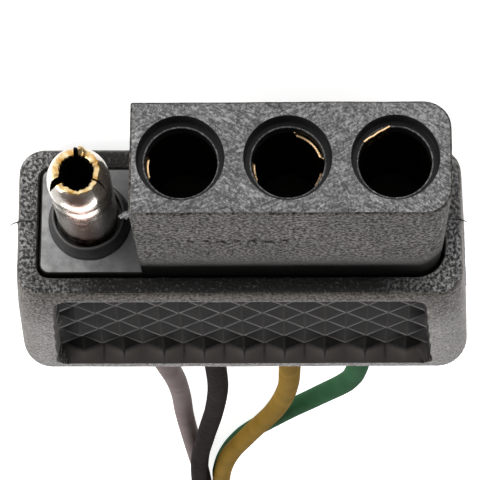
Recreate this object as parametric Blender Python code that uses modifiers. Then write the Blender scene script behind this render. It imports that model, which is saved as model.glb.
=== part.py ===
"""Moulded four-way flat trailer connector with a bullet pin, three covered sockets and four leads.

It lies on its wide face. The sockets and the pin face -Y, and the leads leave toward +Y.
The origin is under the middle of the moulding, on the surface it lies on.
"""

import math

import bmesh
import bpy
from mathutils import Matrix, Vector

MM = 0.001

# Driving dimensions, in millimetres.
PITCH = 9.0
BLOCK_LENGTH = 18.2
GRIP_LENGTH = 22.4
BLOCK_THICKNESS = 9.9
BLOCK_X = (-18.2, 8.75)
BLOCK_CORNER = 2.3
PAD_X = 18.0
PAD_PROUD = 0.25
PAD_CORNER = 0.9
ROOT_DEPTH = 9.7
GAP = 0.3

SHOULDER_HALF_WIDTH = 20.05
SHOULDER_HALF_THICKNESS = 6.75
END_HALF_WIDTH = 21.75
END_HALF_THICKNESS = 8.2
FLARE_LENGTH = 7.0
GRIP_CORNER = 2.2
FRONT_ROUND = 0.4
REAR_ROUND = 0.7

RECESS_HALF_WIDTH = 17.35
RECESS_TAPER = 0.65
RECESS_SPAN = (1.5, 20.4)
RECESS_CORNER = 1.2
RECESS_FLOOR = (6.05, 6.95)
KNURL_CELL = (3.9, 4.7)
KNURL_HEIGHT = 0.8

MOUTH_RADIUS = 3.7
MOUTH_DEPTH = 1.4
LIP_RADIUS = 3.1
LIP_DEPTH = 1.0
CHAMBER_RADIUS = 3.6
CHAMBER_DEPTH = 14.8
CRIMP_HOLE_RADIUS = 1.85

BARREL_INNER = 2.95
BARREL_OUTER = 3.3
BARREL_LENGTH = 11.4
CRIMP_OUTER = 1.5
CRIMP_INNER = 1.05
CRIMP_LENGTH = 5.0

PIN_RADIUS = 2.75
PIN_REACH = 14.6
PIN_HOLE_RADIUS = 1.3
COLLAR_RADIUS = 3.65

CONDUCTOR_RADIUS = 0.75
LEAD_RADIUS = 1.25
LEAD_HOLE_RADIUS = 1.55
LEAD_START = 11.2

COIL_RADIUS = 13.8
COIL_CENTRE = (-8.6, 182.5)
COIL_HALF_WIDTH = 5.6
COIL_SPAN = (0.85, 6.6)
TIE_ANGLE = math.radians(20)
TIE_WIDTH = 2.5
TIE_THICKNESS = 0.5

# Places that follow from them.
SHOULDER_Y = (BLOCK_LENGTH - GRIP_LENGTH) / 2
FACE_Y = SHOULDER_Y - BLOCK_LENGTH
END_Y = SHOULDER_Y + GRIP_LENGTH
ROOT_Y = SHOULDER_Y + ROOT_DEPTH
MID_Z = END_HALF_THICKNESS
SOCKETS = {"brown": 0.5 * PITCH, "yellow": -0.5 * PITCH, "green": -1.5 * PITCH}
PIN_X = 1.5 * PITCH

# Each lead's route behind the grip, chosen point by point; x, y, z in millimetres.
LEAD_ROUTES = {
    "white": [(13.5, 26, 8.1), (12.3, 38, 7.7), (10.6, 50, 7.0), (9.9, 62, 6.0), (9.6, 76, 4.4),
              (9.8, 92, 2.5), (10.1, 108, 1.45), (9.9, 124, 1.3), (9.5, 144, 1.3), (9.4, 163, 1.3)],
    "brown": [(4.5, 26, 8.1), (4.4, 38, 7.8), (4.3, 50, 7.3), (4.3, 62, 6.6), (4.6, 76, 5.5),
              (5.6, 92, 4.5), (7.2, 108, 4.1), (8.7, 124, 4.1), (9.4, 144, 4.1), (9.4, 163, 4.1)],
    "yellow": [(-4.5, 26, 8.1), (-4.4, 38, 7.8), (-4.2, 50, 7.3), (-4.1, 62, 6.6), (-3.7, 76, 5.5),
               (-2.0, 92, 4.5), (1.5, 108, 4.1), (4.9, 124, 4.1), (6.5, 144, 4.1), (6.6, 163, 4.1)],
    "green": [(-13.5, 26, 8.1), (-12.8, 38, 7.7), (-12.1, 50, 7.1), (-11.9, 62, 6.1), (-11.0, 76, 4.5),
              (-7.6, 92, 2.6), (-2.4, 108, 1.5), (3.3, 124, 1.3), (6.4, 144, 1.3), (6.6, 163, 1.3)],
}
LEAD_COLOURS = {
    "white": (0.62, 0.58, 0.57),
    "brown": (0.06, 0.045, 0.04),
    "yellow": (0.5, 0.35, 0.09),
    "green": (0.07, 0.3, 0.13),
}
# The free ends lie in pairs across the middle of the coil: y from its centre, height, and where the
# insulation ends and the copper ends, in x from its centre.
TAIL_START_X = -4.6
TAILS = {
    "white": (-4.6, 1.3, 0.6, 6.2),
    "brown": (-4.6, 4.1, -1.6, 4.0),
    "yellow": (-1.5, 4.1, -1.6, 4.0),
    "green": (-1.5, 1.3, 0.6, 6.2),
}


def clear_scene():
    for obj in list(bpy.data.objects):
        bpy.data.objects.remove(obj, do_unlink=True)


def new_collection(name):
    collection = bpy.data.collections.new(name)
    bpy.context.scene.collection.children.link(collection)
    return collection


def new_material(name, colour, roughness, metallic=0.0):
    material = bpy.data.materials.new(name)
    material.use_nodes = True
    shader = material.node_tree.nodes["Principled BSDF"]
    shader.inputs["Base Color"].default_value = (*colour, 1.0)
    shader.inputs["Roughness"].default_value = roughness
    shader.inputs["Metallic"].default_value = metallic
    return material


def new_object(name, data, collection, material=None):
    obj = bpy.data.objects.new(name, data)
    collection.objects.link(obj)
    if material:
        data.materials.append(material)
    return obj


def mesh_object(name, bm, collection, material=None, angle=35):
    bmesh.ops.recalc_face_normals(bm, faces=bm.faces[:])
    mesh = bpy.data.meshes.new(name)
    bm.to_mesh(mesh)
    bm.free()
    mesh.shade_smooth()
    mesh.set_sharp_from_angle(angle=math.radians(angle))
    return new_object(name, mesh, collection, material)


def make_cutter(obj):
    obj.hide_render = True
    obj.display_type = "WIRE"
    return obj


def cut(obj, cutter, operation="DIFFERENCE"):
    boolean = obj.modifiers.new(operation.lower(), "BOOLEAN")
    boolean.operation = operation
    boolean.object = cutter


def rounded_rectangle(half_x, half_z, radius, steps=5):
    """Counter-clockwise points of a rounded rectangle about the origin."""
    points = []
    for quarter, (sx, sz) in enumerate(((1, 1), (-1, 1), (-1, -1), (1, -1))):
        for i in range(steps + 1):
            angle = math.pi / 2 * (quarter + i / steps)
            points.append((
                sx * (half_x - radius) + radius * math.cos(angle),
                sz * (half_z - radius) + radius * math.sin(angle),
            ))
    return points


def plate(name, outline, y0, y1, collection, material=None):
    """A flat outline of (x, z) points, made solid between two y planes."""
    bm = bmesh.new()
    face = bm.faces.new([bm.verts.new((x * MM, y0 * MM, (MID_Z + z) * MM)) for x, z in outline])
    raised = bmesh.ops.extrude_face_region(bm, geom=[face])
    moved = [v for v in raised["geom"] if isinstance(v, bmesh.types.BMVert)]
    bmesh.ops.translate(bm, verts=moved, vec=(0, (y1 - y0) * MM, 0))
    return mesh_object(name, bm, collection, material)


def turned(name, profile, x, collection, material=None, steps=32, z=MID_Z):
    """A solid turned about an axis along Y; the profile is (radius, y) from -Y to +Y."""
    mesh = bpy.data.meshes.new(name)
    points = [(r * MM, 0, -y * MM) for r, y in profile]
    mesh.from_pydata(points, [(i, i + 1) for i in range(len(points) - 1)], [])
    obj = new_object(name, mesh, collection, material)
    obj.location = (x * MM, 0, z * MM)
    obj.rotation_euler = (math.pi / 2, 0, 0)
    screw = obj.modifiers.new("turn", "SCREW")
    screw.steps = steps
    screw.render_steps = steps
    screw.use_merge_vertices = True
    screw.merge_threshold = 0.00001
    screw.use_smooth_shade = True
    return obj


def smooth_route(points, spacing):
    """Points a fixed distance apart on a smooth curve through the route's own points."""
    vectors = [Vector(p) for p in points]
    ends = [2 * vectors[0] - vectors[1], *vectors, 2 * vectors[-1] - vectors[-2]]
    dense = []
    for a, b, c, d in zip(ends, ends[1:], ends[2:], ends[3:]):
        for i in range(24):
            t = i / 24
            dense.append(0.5 * (2 * b + (c - a) * t + (2 * a - 5 * b + 4 * c - d) * t * t
                                + (3 * b - a - 3 * c + d) * t * t * t))
    dense.append(vectors[-1])
    total = sum((q - p).length for p, q in zip(dense, dense[1:]))
    count = max(2, round(total / spacing))
    route = [dense[0]]
    travelled = 0.0
    for p, q in zip(dense, dense[1:]):
        step = (q - p).length
        while len(route) < count and travelled + step >= total * len(route) / count:
            share = (total * len(route) / count - travelled) / step
            route.append(p.lerp(q, share))
        travelled += step
    route.append(dense[-1])
    return route


def wire(name, points, radius, collection, material, resolution=2):
    curve = bpy.data.curves.new(name, "CURVE")
    curve.dimensions = "3D"
    curve.bevel_depth = radius * MM
    curve.bevel_resolution = resolution
    curve.use_fill_caps = True
    spline = curve.splines.new("POLY")
    spline.points.add(len(points) - 1)
    for point, place in zip(spline.points, points):
        point.co = (*(Vector(place) * MM), 1)
    return new_object(name, curve, collection, material)


def arc(x, z, radius, start, steps=5):
    """A quarter turn of points about (x, z), counter-clockwise from a start angle in quarters."""
    angles = [math.pi / 2 * (start + i / steps) for i in range(steps + 1)]
    return [(x + radius * math.cos(a), z + radius * math.sin(a)) for a in angles]


def carrier_outline(end_x, end_corner, grow=0.0):
    """The carrier's section: well rounded at its -X end, and with its own corner at the other end."""
    half_z = BLOCK_THICKNESS / 2
    left = BLOCK_X[0] + BLOCK_CORNER
    right = end_x - end_corner
    wide, tight = BLOCK_CORNER + grow, end_corner + grow
    points = arc(right, half_z - end_corner, tight, 0)
    points += arc(left, half_z - BLOCK_CORNER, wide, 1)
    points += arc(left, BLOCK_CORNER - half_z, wide, 2)
    return points + arc(right, end_corner - half_z, tight, 3)


def grip_section(depth):
    """Half width, half thickness and corner radius of the grip at a depth behind its shoulder."""
    width = SHOULDER_HALF_WIDTH + (END_HALF_WIDTH - SHOULDER_HALF_WIDTH) * depth / GRIP_LENGTH
    rise = 1 - (1 - min(depth / FLARE_LENGTH, 1)) ** 2
    thickness = SHOULDER_HALF_THICKNESS + (END_HALF_THICKNESS - SHOULDER_HALF_THICKNESS) * rise
    inset = 0.0
    if depth < FRONT_ROUND:
        inset = FRONT_ROUND - math.sqrt(FRONT_ROUND ** 2 - (FRONT_ROUND - depth) ** 2)
    from_end = GRIP_LENGTH - depth
    if from_end < REAR_ROUND:
        inset = REAR_ROUND - math.sqrt(REAR_ROUND ** 2 - (REAR_ROUND - from_end) ** 2)
    return width - inset, thickness - inset, GRIP_CORNER + 0.8 * depth / GRIP_LENGTH - 0.6 * inset


def grip_blank(collection, material):
    depths = [FRONT_ROUND * (1 - math.cos(math.pi / 2 * i / 3)) for i in range(4)]
    depths += [1.0, 1.8, 2.8, 4.0, 5.4, FLARE_LENGTH, 12.0, 17.0]
    depths += [GRIP_LENGTH - REAR_ROUND * (1 - math.sin(math.pi / 2 * i / 5)) for i in range(6)]
    bm = bmesh.new()
    rings = []
    for depth in depths:
        outline = rounded_rectangle(*grip_section(depth))
        y = SHOULDER_Y + depth
        rings.append([bm.verts.new((x * MM, y * MM, (MID_Z + z) * MM)) for x, z in outline])
    for lower, upper in zip(rings, rings[1:]):
        for i in range(len(lower)):
            j = (i + 1) % len(lower)
            bm.faces.new((lower[i], lower[j], upper[j], upper[i]))
    bm.faces.new(rings[0])
    bm.faces.new(rings[-1])
    return mesh_object("grip_overmould", bm, collection, material)


def knurl_cutter(side, collection):
    """The recess of one wide face: its floor is a field of low pyramids on diamond bases."""
    span = RECESS_SPAN[1] - RECESS_SPAN[0]
    half = math.hypot(*KNURL_CELL) / 2
    rows = 13
    bm = bmesh.new()
    bmesh.ops.create_grid(bm, x_segments=rows, y_segments=rows, size=rows / 2)
    bmesh.ops.rotate(bm, verts=bm.verts[:], matrix=Matrix.Rotation(math.pi / 4, 3, "Z"))
    for v in bm.verts:
        v.co.x *= KNURL_CELL[0] / math.sqrt(2)
        v.co.y *= KNURL_CELL[1] / math.sqrt(2)
        v.co.z = 0
    bmesh.ops.poke(bm, faces=bm.faces[:], offset=KNURL_HEIGHT)
    floor = bm.faces[:]
    raised = bmesh.ops.extrude_face_region(bm, geom=floor)
    for v in raised["geom"]:
        if isinstance(v, bmesh.types.BMVert):
            v.co.z = half + 4
    bmesh.ops.scale(bm, verts=bm.verts[:], vec=(MM, MM, MM))
    obj = mesh_object(f"knurl_{side}", bm, collection, angle=20)
    tilt = math.atan2(RECESS_FLOOR[1] - RECESS_FLOOR[0], span)
    up = 1 if side == "top" else -1
    obj.rotation_euler = (tilt if up > 0 else math.pi - tilt, 0, 0)
    middle = SHOULDER_Y + (RECESS_SPAN[0] + RECESS_SPAN[1]) / 2
    depth = (RECESS_FLOOR[0] + RECESS_FLOOR[1]) / 2 - KNURL_HEIGHT / 2
    obj.location = (0, middle * MM, (MID_Z + up * depth) * MM)
    bm = bmesh.new()
    taper = RECESS_TAPER / RECESS_HALF_WIDTH
    outline = rounded_rectangle(RECESS_HALF_WIDTH, span / 2, RECESS_CORNER)
    outline = [(x * (1 + taper * y / (span / 2)), y) for x, y in outline]
    low, high = (MID_Z + up * 3.0) * MM, (MID_Z + up * 12.0) * MM
    face = bm.faces.new([bm.verts.new((x * MM, (middle + y) * MM, low)) for x, y in outline])
    raised = bmesh.ops.extrude_face_region(bm, geom=[face])
    moved = [v for v in raised["geom"] if isinstance(v, bmesh.types.BMVert)]
    bmesh.ops.translate(bm, verts=moved, vec=(0, 0, high - low))
    window = make_cutter(mesh_object(f"recess_window_{side}", bm, collection))
    cut(window, make_cutter(obj), "INTERSECT")
    return window


def make_grip(collection, cutters, material):
    grip = grip_blank(collection, material)
    outline = carrier_outline(PAD_X, PAD_CORNER, GAP)
    pocket = plate("carrier_pocket", outline, SHOULDER_Y - 1, ROOT_Y + GAP, cutters)
    cut(grip, make_cutter(pocket))
    for colour, x in {**SOCKETS, "white": PIN_X}.items():
        profile = [(0, ROOT_Y - 1), (LEAD_HOLE_RADIUS, ROOT_Y - 1), (LEAD_HOLE_RADIUS, END_Y + 1), (0, END_Y + 1)]
        cut(grip, make_cutter(turned(f"lead_hole_{colour}", profile, x, cutters, steps=16)))
    for side in ("top", "bottom"):
        cut(grip, knurl_cutter(side, cutters))
    return grip


def make_carrier(collection, cutters, material):
    """The socket block and, behind it, the wider root that also shows as a pad round the pin."""
    block = carrier_outline(BLOCK_X[1], 0.15)
    root = carrier_outline(PAD_X, PAD_CORNER)
    carrier = plate("terminal_carrier", block, FACE_Y, SHOULDER_Y + 2, collection, material)
    joined = plate("carrier_root", root, SHOULDER_Y - PAD_PROUD, ROOT_Y, cutters)
    cut(carrier, make_cutter(joined), "UNION")
    lip = FACE_Y + MOUTH_DEPTH
    chamber_end = FACE_Y + CHAMBER_DEPTH
    socket = [(0, FACE_Y - 1), (MOUTH_RADIUS, FACE_Y - 1), (MOUTH_RADIUS, lip), (LIP_RADIUS, lip),
              (LIP_RADIUS, lip + LIP_DEPTH), (CHAMBER_RADIUS, lip + LIP_DEPTH), (CHAMBER_RADIUS, chamber_end),
              (CRIMP_HOLE_RADIUS, chamber_end), (CRIMP_HOLE_RADIUS, ROOT_Y + 1), (0, ROOT_Y + 1)]
    for colour, x in SOCKETS.items():
        cut(carrier, make_cutter(turned(f"socket_{colour}", socket, x, cutters)))
    flange = SHOULDER_Y + 1.2
    pin_hole = [(0, SHOULDER_Y - 1), (PIN_RADIUS + GAP, SHOULDER_Y - 1), (PIN_RADIUS + GAP, flange),
                (COLLAR_RADIUS, flange), (COLLAR_RADIUS, flange + 1.8), (CRIMP_HOLE_RADIUS, flange + 1.8),
                (CRIMP_HOLE_RADIUS, ROOT_Y + 1), (0, ROOT_Y + 1)]
    cut(carrier, make_cutter(turned("pin_hole", pin_hole, PIN_X, cutters)))
    return carrier


def slit(name, x, angle, width, y0, y1, inner, outer, collection):
    """A thin radial slab that opens one wall of a barrel."""
    bpy.ops.mesh.primitive_cube_add(size=1)
    obj = bpy.context.object
    for other in list(obj.users_collection):
        other.objects.unlink(obj)
    collection.objects.link(obj)
    obj.name = name
    middle = (inner + outer) / 2
    obj.scale = ((outer - inner) * MM, (y1 - y0) * MM, width * MM)
    obj.rotation_euler = (0, -angle, 0)
    obj.location = (
        (x + middle * math.cos(angle)) * MM,
        (y0 + y1) / 2 * MM,
        (MID_Z + middle * math.sin(angle)) * MM,
    )
    return make_cutter(obj)


def make_socket_contact(colour, x, collection, cutters, material):
    mouth = FACE_Y + MOUTH_DEPTH + LIP_DEPTH + GAP
    floor = mouth + BARREL_LENGTH - 0.5
    back = mouth + BARREL_LENGTH
    end = ROOT_Y - 0.7
    profile = [(0, floor), (BARREL_INNER, floor), (BARREL_INNER, mouth), (BARREL_OUTER, mouth),
               (BARREL_OUTER, back), (CRIMP_OUTER, back + 0.6), (CRIMP_OUTER, end), (CRIMP_INNER, end),
               (CRIMP_INNER, end - CRIMP_LENGTH), (0, end - CRIMP_LENGTH)]
    contact = turned(f"socket_contact_{colour}", profile, x, collection, material, steps=28)
    opening = slit(f"barrel_slit_{colour}", x, math.pi, 0.7, mouth - 1, back - 1.5, 1.5, 4.5, cutters)
    cut(contact, opening)
    return contact


def make_pin(collection, cutters, material):
    tip = SHOULDER_Y - PIN_REACH
    flange = SHOULDER_Y + 1.2 + GAP
    end = ROOT_Y - 0.7
    groove = tip + 3.75
    profile = [(0, tip + 8), (PIN_HOLE_RADIUS, tip + 8), (PIN_HOLE_RADIUS, tip), (1.95, tip),
               (2.35, tip + 0.55), (2.65, tip + 1.5), (PIN_RADIUS, tip + 2.4), (PIN_RADIUS, groove - 0.2),
               (PIN_RADIUS - 0.3, groove), (PIN_RADIUS - 0.05, groove + 0.25), (PIN_RADIUS - 0.02, flange),
               (3.3, flange), (3.3, flange + 1.2), (CRIMP_OUTER, flange + 1.2), (CRIMP_OUTER, end),
               (CRIMP_INNER, end), (CRIMP_INNER, end - 3.8), (0, end - 3.8)]
    pin = turned("pin_contact", profile, PIN_X, collection, material, steps=36)
    for i, degrees in enumerate((28, 155, 272)):
        opening = slit(f"pin_slit_{i}", PIN_X, math.radians(degrees), 0.3, tip - 1, tip + 6, 0.9, 3.4, cutters)
        cut(pin, opening)
    return pin


def make_collar(collection, material):
    """The raised ring round the foot of the pin."""
    inner = PIN_RADIUS + GAP
    front = SHOULDER_Y - PAD_PROUD - GAP
    profile = [(inner, front), (inner, front - 1.9), (inner + 0.15, front - 1.95), (COLLAR_RADIUS - 0.05, front - 0.5),
               (COLLAR_RADIUS, front), (inner, front)]
    return turned("pin_collar", profile, PIN_X, collection, material, steps=36)


def coil_entry(colour):
    """The y at which a lead meets the outside of the coil."""
    x = LEAD_ROUTES[colour][-1][0] - COIL_CENTRE[0] - LEAD_RADIUS
    reach = COIL_RADIUS + COIL_HALF_WIDTH + GAP
    return COIL_CENTRE[1] - math.sqrt(reach ** 2 - x ** 2) - 0.2


def make_lead(colour, x, collection, material, copper):
    end = ROOT_Y - 0.7
    core = [(x, end - 3.2, MID_Z), (x, SHOULDER_Y + LEAD_START - GAP, MID_Z)]
    wire(f"conductor_{colour}", core, CONDUCTOR_RADIUS, collection, copper)
    last = LEAD_ROUTES[colour][-1]
    route = [(x, SHOULDER_Y + LEAD_START, MID_Z), (x, END_Y, MID_Z), *LEAD_ROUTES[colour],
             (last[0], coil_entry(colour), last[2])]
    wire(f"lead_{colour}", smooth_route(route, 5.5), LEAD_RADIUS, collection, material)
    across, height, bare, tip = TAILS[colour]
    y = COIL_CENTRE[1] + across
    stops = [COIL_CENTRE[0] + along for along in (TAIL_START_X, bare, bare + GAP, tip)]
    wire(f"tail_{colour}", [(stops[0], y, height), (stops[1], y, height)], LEAD_RADIUS, collection, material)
    wire(f"tip_{colour}", [(stops[2], y, height), (stops[3], y, height)], CONDUCTOR_RADIUS, collection, copper)


def make_coil(collection, material):
    """The outer shape of the wound leads: a ring with a rounded, nearly square section."""
    middle = (COIL_SPAN[0] + COIL_SPAN[1]) / 2
    section = rounded_rectangle(COIL_HALF_WIDTH, (COIL_SPAN[1] - COIL_SPAN[0]) / 2, 2.4, steps=3)
    mesh = bpy.data.meshes.new("lead_coil")
    points = [((COIL_RADIUS + x) * MM, 0, z * MM) for x, z in reversed(section)]
    mesh.from_pydata(points, [(i, (i + 1) % len(points)) for i in range(len(points))], [])
    obj = new_object("lead_coil", mesh, collection, material)
    obj.location = (COIL_CENTRE[0] * MM, COIL_CENTRE[1] * MM, middle * MM)
    screw = obj.modifiers.new("turn", "SCREW")
    screw.steps = 40
    screw.render_steps = 40
    screw.use_merge_vertices = True
    screw.merge_threshold = 0.00001
    return obj


def make_tie(collection, cutters, material):
    """A strap round the coil's section, with its head on the outside."""
    middle = (COIL_SPAN[0] + COIL_SPAN[1]) / 2
    half_x = COIL_HALF_WIDTH + GAP
    half_z = (COIL_SPAN[1] - COIL_SPAN[0]) / 2 + GAP
    outlines = [rounded_rectangle(half_x + t, half_z + t, 2.4 + t, steps=4) for t in (TIE_THICKNESS, 0)]
    centre = (COIL_CENTRE[0] + COIL_RADIUS * math.cos(TIE_ANGLE), COIL_CENTRE[1] + COIL_RADIUS * math.sin(TIE_ANGLE))
    bm = bmesh.new()
    rings = [[bm.verts.new((x * MM, side * TIE_WIDTH / 2 * MM, z * MM)) for x, z in outline]
             for outline in outlines for side in (-1, 1)]
    order = (0, 1, 3, 2)
    for a, b in zip(order, order[1:] + order[:1]):
        for i in range(len(rings[a])):
            j = (i + 1) % len(rings[a])
            bm.faces.new((rings[a][i], rings[a][j], rings[b][j], rings[b][i]))
    band = mesh_object("cable_tie_band", bm, collection, material)
    band.location = (centre[0] * MM, centre[1] * MM, middle * MM)
    band.rotation_euler = (0, 0, TIE_ANGLE)
    bpy.ops.mesh.primitive_cube_add(size=1)
    head = bpy.context.object
    for other in list(head.users_collection):
        other.objects.unlink(head)
    collection.objects.link(head)
    head.name = "cable_tie_head"
    head.data.materials.append(material)
    head.data.transform(Matrix.Diagonal((3.0 * MM, 4.4 * MM, 4.2 * MM, 1)))
    reach = COIL_RADIUS + half_x + TIE_THICKNESS + GAP + 1.5
    head.location = (
        (COIL_CENTRE[0] + reach * math.cos(TIE_ANGLE)) * MM,
        (COIL_CENTRE[1] + reach * math.sin(TIE_ANGLE)) * MM,
        (middle + 0.3) * MM,
    )
    head.rotation_euler = (0, 0, TIE_ANGLE)
    bevel = head.modifiers.new("soft_edges", "BEVEL")
    bevel.width = 0.3 * MM
    bevel.segments = 2
    return band, head


def main():
    clear_scene()
    parts = new_collection("trailer_wiring_connector")
    cutters = new_collection("cutters")
    black = new_material("overmould_black", (0.035, 0.034, 0.034), 0.55)
    grey = new_material("carrier_grey", (0.11, 0.11, 0.112), 0.6)
    dark = new_material("collar_black", (0.02, 0.02, 0.022), 0.45)
    brass = new_material("brass", (0.72, 0.52, 0.24), 0.3, 1.0)
    nickel = new_material("nickel", (0.66, 0.64, 0.6), 0.22, 1.0)
    copper = new_material("copper", (0.8, 0.42, 0.26), 0.35, 1.0)
    nylon = new_material("tie_nylon", (0.03, 0.03, 0.032), 0.4)
    leads = {name: new_material(f"lead_{name}", rgb, 0.4) for name, rgb in LEAD_COLOURS.items()}
    make_grip(parts, cutters, black)
    make_carrier(parts, cutters, grey)
    make_collar(parts, dark)
    make_pin(parts, cutters, nickel)
    for colour, x in SOCKETS.items():
        make_socket_contact(colour, x, parts, cutters, brass)
    for colour, x in {"white": PIN_X, **SOCKETS}.items():
        make_lead(colour, x, parts, leads[colour], copper)
    make_coil(parts, leads["brown"])
    make_tie(parts, cutters, nylon)


main()
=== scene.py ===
import math

import bmesh
import bpy
from mathutils import Matrix, Vector, noise


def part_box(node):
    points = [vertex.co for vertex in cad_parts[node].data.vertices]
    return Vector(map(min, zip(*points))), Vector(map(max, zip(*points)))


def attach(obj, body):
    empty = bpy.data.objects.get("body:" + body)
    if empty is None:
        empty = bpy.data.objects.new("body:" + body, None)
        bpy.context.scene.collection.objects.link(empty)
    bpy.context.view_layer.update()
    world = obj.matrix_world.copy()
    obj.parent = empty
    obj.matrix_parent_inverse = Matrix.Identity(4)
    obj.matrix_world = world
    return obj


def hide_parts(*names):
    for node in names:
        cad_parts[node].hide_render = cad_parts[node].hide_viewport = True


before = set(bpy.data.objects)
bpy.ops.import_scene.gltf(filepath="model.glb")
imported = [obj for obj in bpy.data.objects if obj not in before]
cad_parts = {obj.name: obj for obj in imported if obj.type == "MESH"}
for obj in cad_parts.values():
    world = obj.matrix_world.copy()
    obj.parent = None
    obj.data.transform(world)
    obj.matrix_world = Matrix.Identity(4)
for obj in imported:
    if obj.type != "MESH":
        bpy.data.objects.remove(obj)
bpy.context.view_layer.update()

MM = 0.001

# Places taken from the frame, in millimetres.
GRIP_LOW, GRIP_HIGH = (Vector(corner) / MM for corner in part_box("grip_overmould"))
CARRIER_LOW, CARRIER_HIGH = (Vector(corner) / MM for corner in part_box("terminal_carrier"))
PIN_LOW, PIN_HIGH = (Vector(corner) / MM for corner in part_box("pin_contact"))
COIL_LOW, COIL_HIGH = (Vector(corner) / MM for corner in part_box("lead_coil"))
MID_Z = (GRIP_LOW.z + GRIP_HIGH.z) / 2
SHOULDER_Y = GRIP_LOW.y
END_Y = GRIP_HIGH.y
FACE_Y = CARRIER_LOW.y
ROOT_Y = CARRIER_HIGH.y
PIN_X = (PIN_LOW.x + PIN_HIGH.x) / 2
PITCH = PIN_X / 1.5
SOCKET_X = {"brown": 0.5 * PITCH, "yellow": -0.5 * PITCH, "green": -1.5 * PITCH}
LEAD_X = {"white": PIN_X, **SOCKET_X}

# Sizes of the moulding, in millimetres.
GAP = 0.3
BLOCK_THICKNESS = CARRIER_HIGH.z - CARRIER_LOW.z
BLOCK_X = (CARRIER_LOW.x, 8.75)
BLOCK_CORNER = 2.3
BLOCK_EDGE = 0.2
PAD_X = CARRIER_HIGH.x
PAD_PROUD = 0.25
PAD_CORNER = 0.9
GRIP_LENGTH = END_Y - SHOULDER_Y
SHOULDER_HALF_WIDTH = 20.05
SHOULDER_HALF_THICKNESS = 6.75
END_HALF_WIDTH = 21.75
END_HALF_THICKNESS = 8.2
FLARE_LENGTH = 7.0
GRIP_CORNER = 2.2
FRONT_ROUND = 0.4
REAR_ROUND = 0.7
RECESS_HALF_WIDTH = 17.35
RECESS_TAPER = 0.65
RECESS_SPAN = (1.5, 20.4)
RECESS_CORNER = 1.2
RECESS_FLOOR = (6.05, 6.95)
KNURL_CELL = (3.9, 4.7)
KNURL_HEIGHT = 0.8
MOUTH_RADIUS = 3.7
MOUTH_DEPTH = 1.4
LIP_RADIUS = 3.1
LIP_DEPTH = 1.0
CHAMBER_RADIUS = 3.6
CHAMBER_DEPTH = 14.8
BARREL_INNER = 2.95
BARREL_LENGTH = 11.4
CRIMP_RADIUS = 1.5
PIN_RADIUS = 2.75
PIN_HOLE_RADIUS = 1.3
COLLAR_RADIUS = 3.65
LEAD_HOLE_RADIUS = 1.55
LEAD_RADIUS = 1.25
LEAD_START = 11.2

# The leads' routes behind the grip, point by point.
LEAD_ROUTES = {
    "white": [(13.5, 26, 8.1), (12.3, 38, 7.7), (10.6, 50, 7.0), (9.9, 62, 6.0), (9.6, 76, 4.4),
              (9.8, 92, 2.5), (10.1, 108, 1.45), (9.9, 124, 1.3), (9.5, 144, 1.3), (9.4, 163, 1.3)],
    "brown": [(4.5, 26, 8.1), (4.4, 38, 7.8), (4.3, 50, 7.3), (4.3, 62, 6.6), (4.6, 76, 5.5),
              (5.6, 92, 4.5), (7.2, 108, 4.1), (8.7, 124, 4.1), (9.4, 144, 4.1), (9.4, 163, 4.1)],
    "yellow": [(-4.5, 26, 8.1), (-4.4, 38, 7.8), (-4.2, 50, 7.3), (-4.1, 62, 6.6), (-3.7, 76, 5.5),
               (-2.0, 92, 4.5), (1.5, 108, 4.1), (4.9, 124, 4.1), (6.5, 144, 4.1), (6.6, 163, 4.1)],
    "green": [(-13.5, 26, 8.1), (-12.8, 38, 7.7), (-12.1, 50, 7.1), (-11.9, 62, 6.1), (-11.0, 76, 4.5),
              (-7.6, 92, 2.6), (-2.4, 108, 1.5), (3.3, 124, 1.3), (6.4, 144, 1.3), (6.6, 163, 1.3)],
}
# Each free end: y from the coil's centre, and where the insulation and the copper end in x from it.
TAILS = {
    "white": (-4.6, 0.6, 6.2),
    "brown": (-4.6, -1.6, 4.0),
    "yellow": (-1.5, -1.6, 4.0),
    "green": (-1.5, 0.6, 6.2),
}
COIL_CENTRE = (COIL_LOW + COIL_HIGH) / 2
BUNDLE_CENTRE_X = 8.0
OUTER_TURN = BUNDLE_CENTRE_X - COIL_CENTRE.x
INNER_TURN = OUTER_TURN - 5.6
STEP_FROM, STEP_TO = math.radians(300), math.radians(360)
TAIL_BEND = 5.0
TIE_ANGLE = math.radians(20)
TIE_LIFT = 0.75


# Camera.

CAMERA_PLACE = (-5.91, -222.3, 75.2)
CAMERA_VIEW = (0.02545, 0.95852, -0.28387)
CAMERA_ROLL = math.radians(180.22)
CAMERA_LENS = 191.2


def add_camera():
    """Looks at the sockets, rolled half a turn: the upper wide face is at the picture's bottom."""
    data = bpy.data.cameras.new("camera")
    data.lens = CAMERA_LENS
    data.sensor_width = 36
    data.clip_start = 0.01
    camera = bpy.data.objects.new("camera", data)
    bpy.context.scene.collection.objects.link(camera)
    camera.location = Vector(CAMERA_PLACE) * MM
    camera.rotation_euler = Vector(CAMERA_VIEW).to_track_quat("-Z", "Y").to_euler()
    camera.rotation_euler.rotate_axis("Z", CAMERA_ROLL)
    bpy.context.scene.camera = camera


# Geometry helpers.

def add_object(name, data, *materials):
    obj = bpy.data.objects.new(name, data)
    bpy.context.scene.collection.objects.link(obj)
    for material in materials:
        data.materials.append(material)
    return obj


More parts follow.
